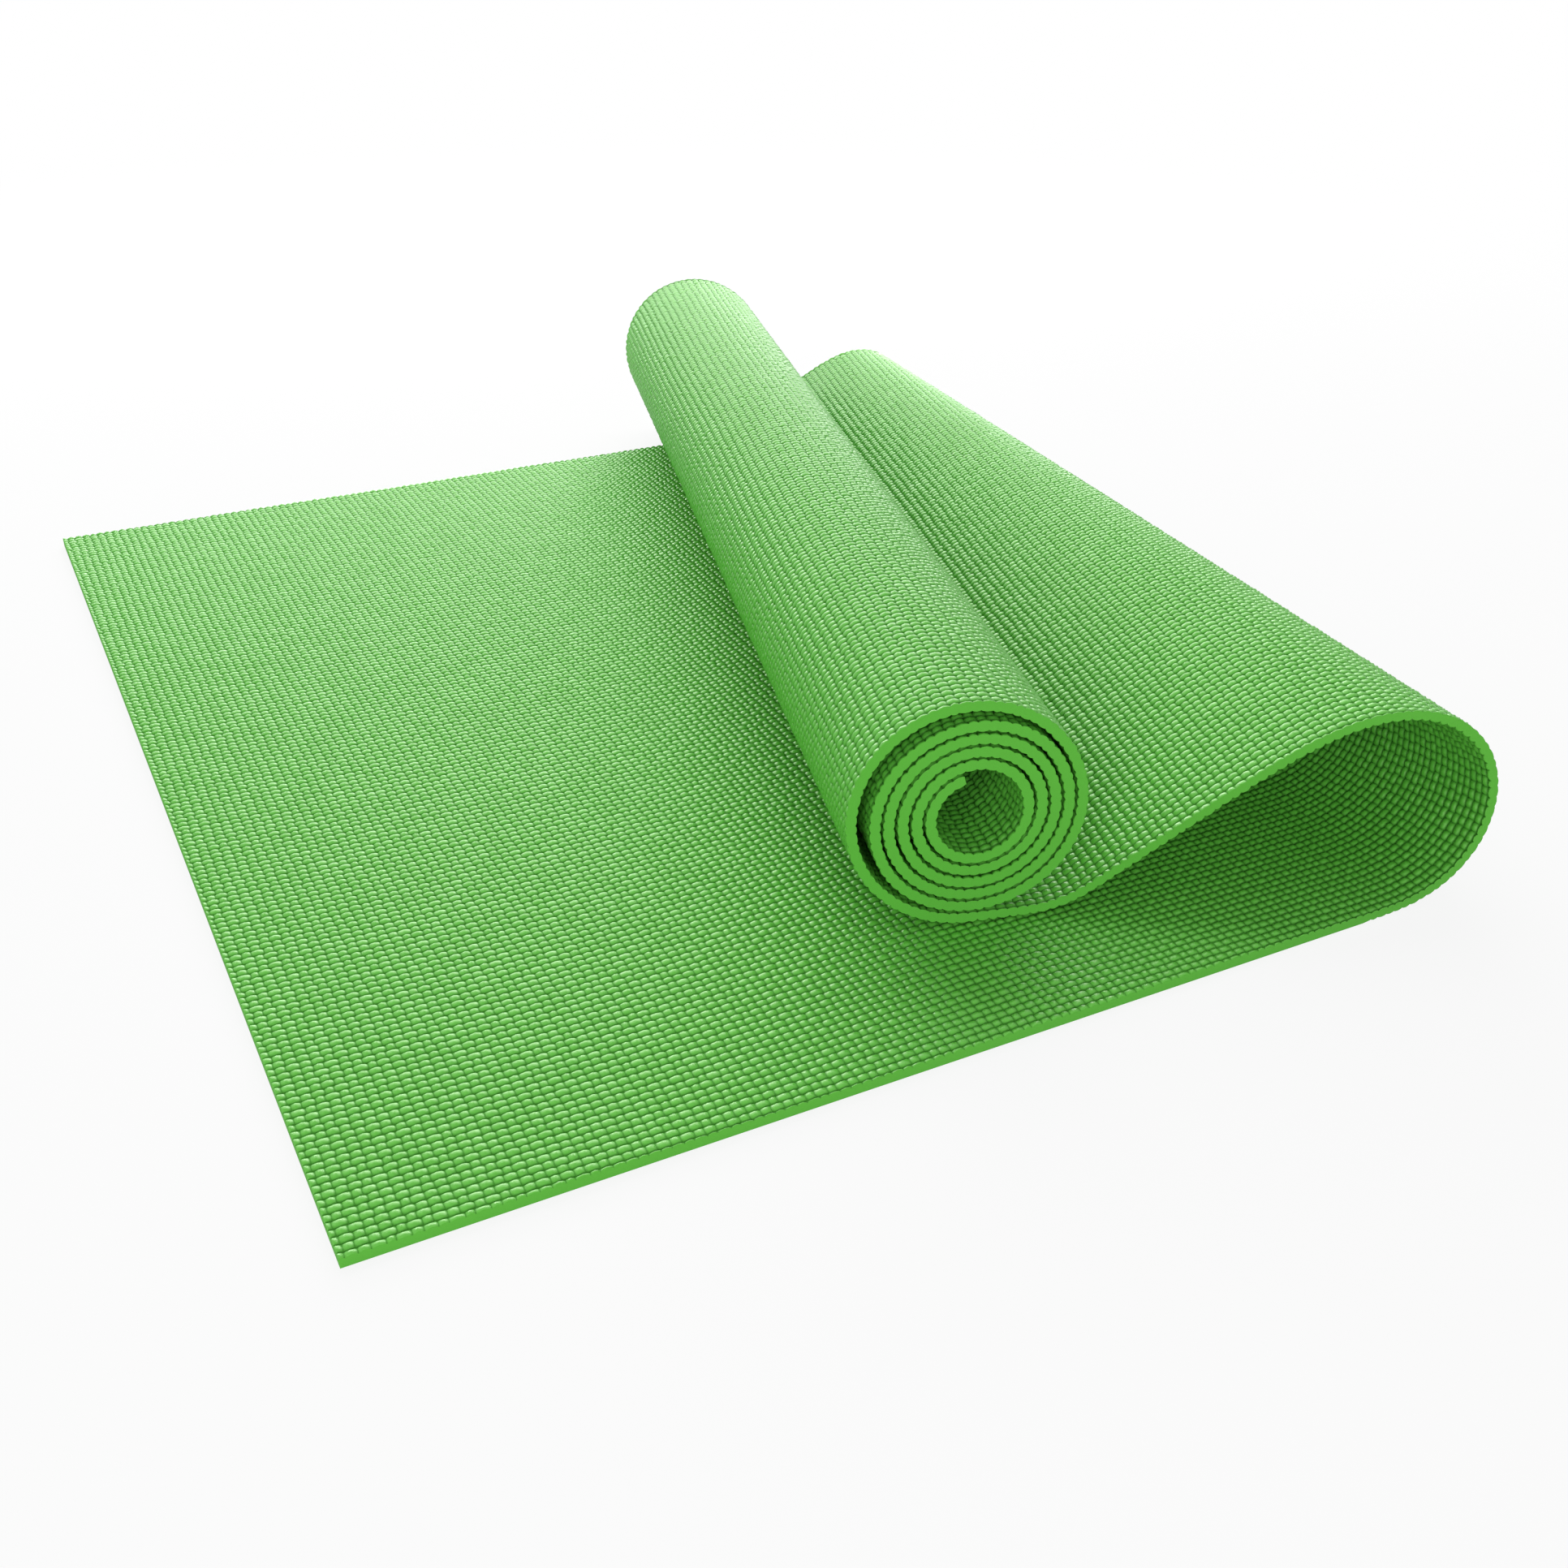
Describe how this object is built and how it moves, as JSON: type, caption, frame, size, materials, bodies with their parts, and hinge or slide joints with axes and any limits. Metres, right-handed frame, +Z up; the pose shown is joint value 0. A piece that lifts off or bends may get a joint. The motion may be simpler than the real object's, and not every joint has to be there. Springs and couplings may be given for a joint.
{
  "type": "yoga mat",
  "caption": "Long thin foam exercise mat, flat at one end, folded over askew and rolled up at the other end, with fine bumps on both faces.",
  "frame": {"origin": "middle of the bounding box, on the ground", "axes": "+X square to the roll, from the open end of the mat towards the fold, +Y along the roll, away from its near end, +Z up"},
  "size_m": [0.5906, 0.7346, 0.0969],
  "materials": {
    "green_pvc_foam": "moulded PVC foam, semi-matt mid green, with small rounded bumps in rows on both faces",
    "polyester_scrim": "thin pale polyester gauze, buried in the foam"
  },
  "bodies": {
    "base": {"base_run_floor_foam": "green_pvc_foam", "base_run_scrim": "polyester_scrim", "base_run_practice_foam": "green_pvc_foam", "base_lift_floor_foam": "green_pvc_foam", "base_lift_scrim": "polyester_scrim", "base_lift_practice_foam": "green_pvc_foam"},
    "fold_1": {"fold_1_floor_foam": "green_pvc_foam", "fold_1_scrim": "polyester_scrim", "fold_1_practice_foam": "green_pvc_foam"},
    "fold_2": {"fold_2_floor_foam": "green_pvc_foam", "fold_2_scrim": "polyester_scrim", "fold_2_practice_foam": "green_pvc_foam"},
    "fold_3": {"fold_3_floor_foam": "green_pvc_foam", "fold_3_scrim": "polyester_scrim", "fold_3_practice_foam": "green_pvc_foam"},
    "fold_4": {"fold_4_floor_foam": "green_pvc_foam", "fold_4_scrim": "polyester_scrim", "fold_4_practice_foam": "green_pvc_foam"},
    "fold_5": {"fold_5_floor_foam": "green_pvc_foam", "fold_5_scrim": "polyester_scrim", "fold_5_practice_foam": "green_pvc_foam"},
    "fold_6": {"fold_6_floor_foam": "green_pvc_foam", "fold_6_scrim": "polyester_scrim", "fold_6_practice_foam": "green_pvc_foam"},
    "upper_ramp": {"upper_ramp_floor_foam": "green_pvc_foam", "upper_ramp_scrim": "polyester_scrim", "upper_ramp_practice_foam": "green_pvc_foam"},
    "upper_run": {"upper_run_floor_foam": "green_pvc_foam", "upper_run_scrim": "polyester_scrim", "upper_run_practice_foam": "green_pvc_foam"},
    "turn_1": {"turn_1_floor_foam": "green_pvc_foam", "turn_1_scrim": "polyester_scrim", "turn_1_practice_foam": "green_pvc_foam"},
    "turn_2": {"turn_2_floor_foam": "green_pvc_foam", "turn_2_scrim": "polyester_scrim", "turn_2_practice_foam": "green_pvc_foam"},
    "turn_3": {"turn_3_floor_foam": "green_pvc_foam", "turn_3_scrim": "polyester_scrim", "turn_3_practice_foam": "green_pvc_foam"},
    "turn_4": {"turn_4_floor_foam": "green_pvc_foam", "turn_4_scrim": "polyester_scrim", "turn_4_practice_foam": "green_pvc_foam"},
    "turn_5": {"turn_5_floor_foam": "green_pvc_foam", "turn_5_scrim": "polyester_scrim", "turn_5_practice_foam": "green_pvc_foam"},
    "turn_6": {"turn_6_floor_foam": "green_pvc_foam", "turn_6_scrim": "polyester_scrim", "turn_6_practice_foam": "green_pvc_foam"},
    "turn_7": {"turn_7_floor_foam": "green_pvc_foam", "turn_7_scrim": "polyester_scrim", "turn_7_practice_foam": "green_pvc_foam"},
    "roll_core": {"roll_outer_floor_foam": "green_pvc_foam", "roll_outer_scrim": "polyester_scrim", "roll_outer_practice_foam": "green_pvc_foam", "roll_middle_floor_foam": "green_pvc_foam", "roll_middle_scrim": "polyester_scrim", "roll_middle_practice_foam": "green_pvc_foam", "roll_inner_floor_foam": "green_pvc_foam", "roll_inner_scrim": "polyester_scrim", "roll_inner_practice_foam": "green_pvc_foam"}
  },
  "joints": [
    {"name": "fold_bend_1", "type": "hinge", "parent": "base", "child": "fold_1", "pos_m": [0.26573, -0.25809, 0.00256], "axis": [-0.0924, 0.9957, -0.0018], "range_deg": [0, 24]},
    {"name": "fold_bend_2", "type": "hinge", "parent": "fold_1", "child": "fold_2", "pos_m": [0.2856, -0.25228, 0.01405], "axis": [-0.1061, 0.9943, -0.0094], "range_deg": [0, 24]},
    {"name": "fold_bend_3", "type": "hinge", "parent": "fold_2", "child": "fold_3", "pos_m": [0.29445, -0.24832, 0.03045], "axis": [-0.1122, 0.9935, -0.0203], "range_deg": [0, 24]},
    {"name": "fold_bend_4", "type": "hinge", "parent": "fold_3", "child": "fold_4", "pos_m": [0.29369, -0.24551, 0.04853], "axis": [-0.1119, 0.9932, -0.0322], "range_deg": [0, 24]},
    {"name": "fold_bend_5", "type": "hinge", "parent": "fold_4", "child": "fold_5", "pos_m": [0.28323, -0.2437, 0.06471], "axis": [-0.105, 0.9935, -0.0429], "range_deg": [0, 24]},
    {"name": "fold_bend_6", "type": "hinge", "parent": "fold_5", "child": "fold_6", "pos_m": [0.26292, -0.24278, 0.07491], "axis": [-0.0913, 0.9946, -0.0494], "range_deg": [0, 24]},
    {"name": "fold_open", "type": "hinge", "parent": "fold_6", "child": "upper_ramp", "pos_m": [0.22926, -0.24256, 0.07227], "axis": [-0.0682, 0.9966, -0.0469], "range_deg": [0, 24]},
    {"name": "landing_bend", "type": "hinge", "parent": "upper_ramp", "child": "upper_run", "pos_m": [0.12563, -0.24302, 0.00705], "axis": [0.0075, 1, -0.0015], "range_deg": [-26.3, 0]},
    {"name": "turn_bend_1", "type": "hinge", "parent": "upper_run", "child": "turn_1", "pos_m": [0.07132, -0.24301, 0.00853], "axis": [0, -1, 0], "range_deg": [0, 45]},
    {"name": "turn_bend_2", "type": "hinge", "parent": "turn_1", "child": "turn_2", "pos_m": [0.045, -0.24301, 0.03474], "axis": [0, -1, 0], "range_deg": [0, 45]},
    {"name": "turn_bend_3", "type": "hinge", "parent": "turn_2", "child": "turn_3", "pos_m": [0.04489, -0.24301, 0.06957], "axis": [0, -1, 0], "range_deg": [0, 45]},
    {"name": "turn_bend_4", "type": "hinge", "parent": "turn_3", "child": "turn_4", "pos_m": [0.06887, -0.24301, 0.09357], "axis": [0, -1, 0], "range_deg": [0, 45]},
    {"name": "turn_bend_5", "type": "hinge", "parent": "turn_4", "child": "turn_5", "pos_m": [0.10322, -0.24301, 0.0935], "axis": [0, -1, 0], "range_deg": [0, 45]},
    {"name": "turn_bend_6", "type": "hinge", "parent": "turn_5", "child": "turn_6", "pos_m": [0.12852, -0.24301, 0.06806], "axis": [0, -1, 0], "range_deg": [0, 45]},
    {"name": "turn_bend_7", "type": "hinge", "parent": "turn_6", "child": "turn_7", "pos_m": [0.12867, -0.24301, 0.03555], "axis": [0, -1, 0], "range_deg": [0, 45]},
    {"name": "roll_unroll", "type": "hinge", "parent": "turn_7", "child": "roll_core", "pos_m": [0.10627, -0.24301, 0.01311], "axis": [0, -1, 0], "range_deg": [0, 45]}
  ],
  "couplings": [
    {"joint": "fold_bend_1", "follows": "fold_open", "ratio": 1},
    {"joint": "fold_bend_2", "follows": "fold_open", "ratio": 1},
    {"joint": "fold_bend_3", "follows": "fold_open", "ratio": 1},
    {"joint": "fold_bend_4", "follows": "fold_open", "ratio": 1},
    {"joint": "fold_bend_5", "follows": "fold_open", "ratio": 1},
    {"joint": "fold_bend_6", "follows": "fold_open", "ratio": 1},
    {"joint": "landing_bend", "follows": "fold_open", "ratio": -1.0901},
    {"joint": "turn_bend_1", "follows": "roll_unroll", "ratio": 1},
    {"joint": "turn_bend_2", "follows": "roll_unroll", "ratio": 1},
    {"joint": "turn_bend_3", "follows": "roll_unroll", "ratio": 1},
    {"joint": "turn_bend_4", "follows": "roll_unroll", "ratio": 1},
    {"joint": "turn_bend_5", "follows": "roll_unroll", "ratio": 1},
    {"joint": "turn_bend_6", "follows": "roll_unroll", "ratio": 1},
    {"joint": "turn_bend_7", "follows": "roll_unroll", "ratio": 1}
  ]
}
